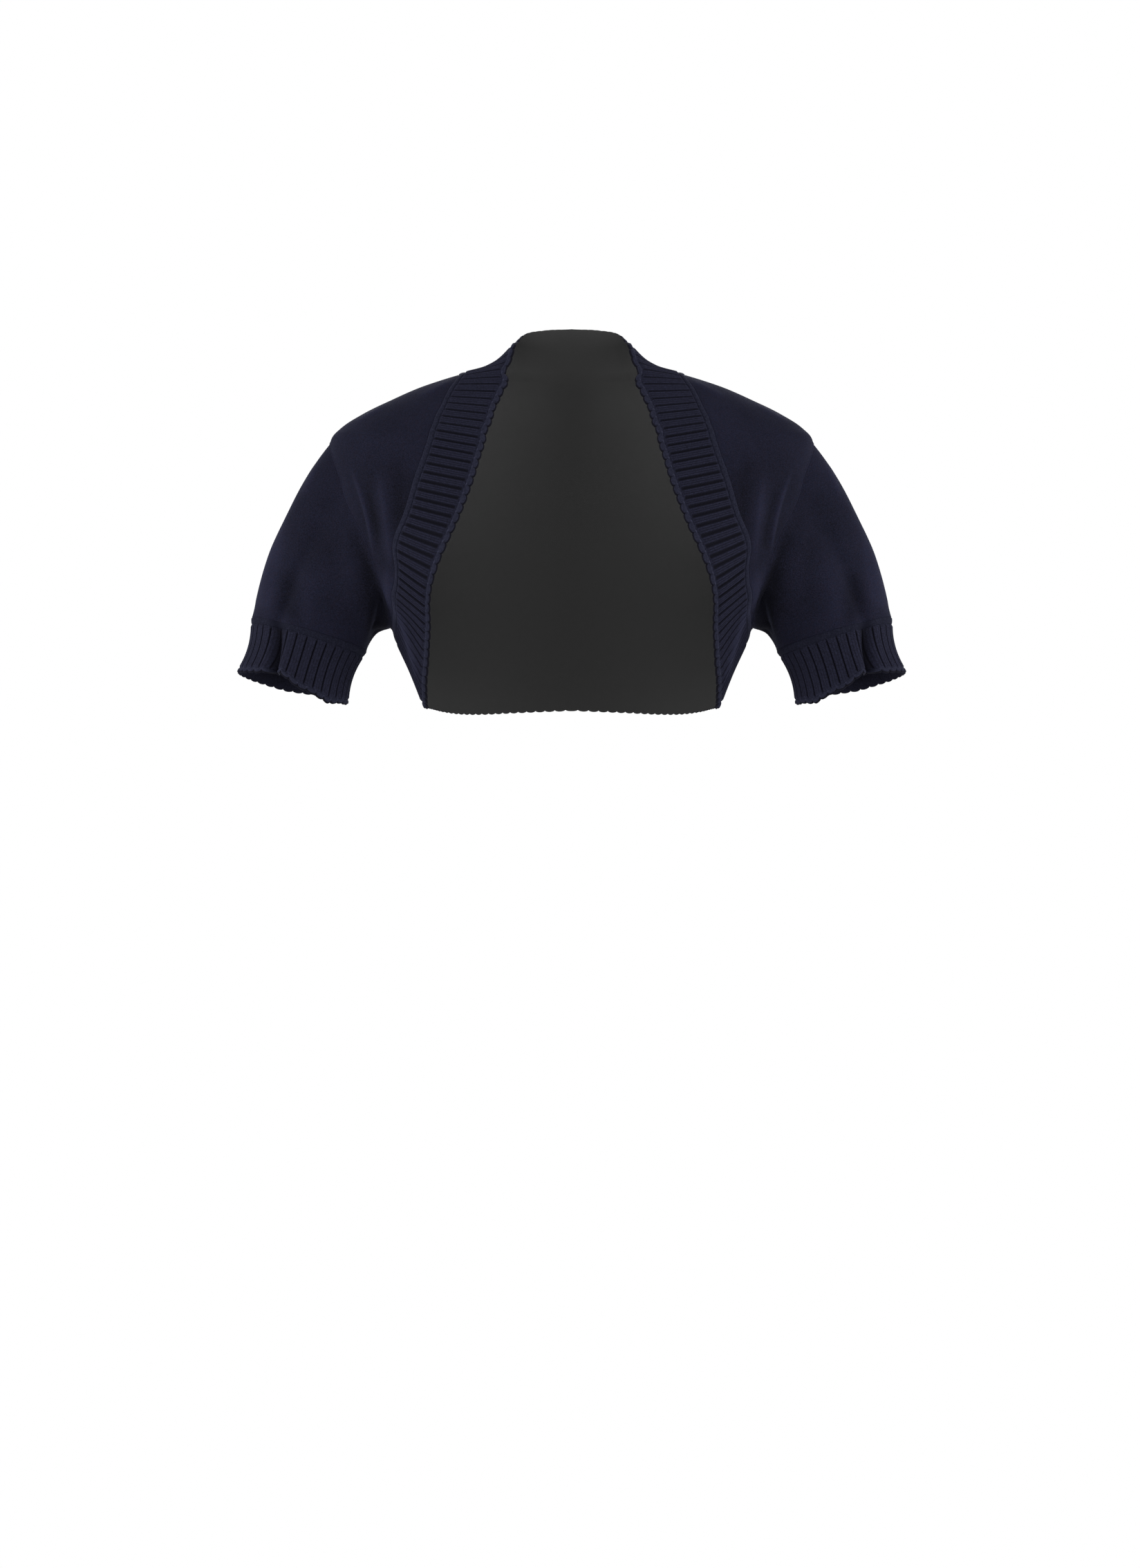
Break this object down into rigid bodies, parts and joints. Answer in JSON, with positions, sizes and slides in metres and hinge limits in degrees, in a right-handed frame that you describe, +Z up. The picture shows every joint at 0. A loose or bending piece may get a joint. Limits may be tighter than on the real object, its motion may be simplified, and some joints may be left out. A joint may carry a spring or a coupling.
{
  "type": "knitted shrug",
  "caption": "Cropped open-front knitted shrug in dark navy: short sleeves with ribbed cuffs and one wide scalloped ribbed band round neck, fronts and hem, in worn form.",
  "frame": {"origin": "Centre line at the level of the neck's base, between the two shoulders that carry the shrug.", "axes": "+Z up, the front faces -Y, the wearer's left is +X."},
  "size_m": [0.5504, 0.1908, 0.325],
  "materials": {
    "plain_knit_navy": "matt fine-gauge plain knit",
    "rib_knit_navy": "matt rib knit with deep grooves"
  },
  "bodies": {
    "root": {"back": "plain_knit_navy", "band_front_left": "rib_knit_navy", "band_front_right": "rib_knit_navy", "band_hem": "rib_knit_navy", "band_neck": "rib_knit_navy", "cuff_left": "rib_knit_navy", "cuff_right": "rib_knit_navy", "front_left": "plain_knit_navy", "front_right": "plain_knit_navy", "sleeve_left": "plain_knit_navy", "sleeve_right": "plain_knit_navy"}
  },
  "joints": []
}
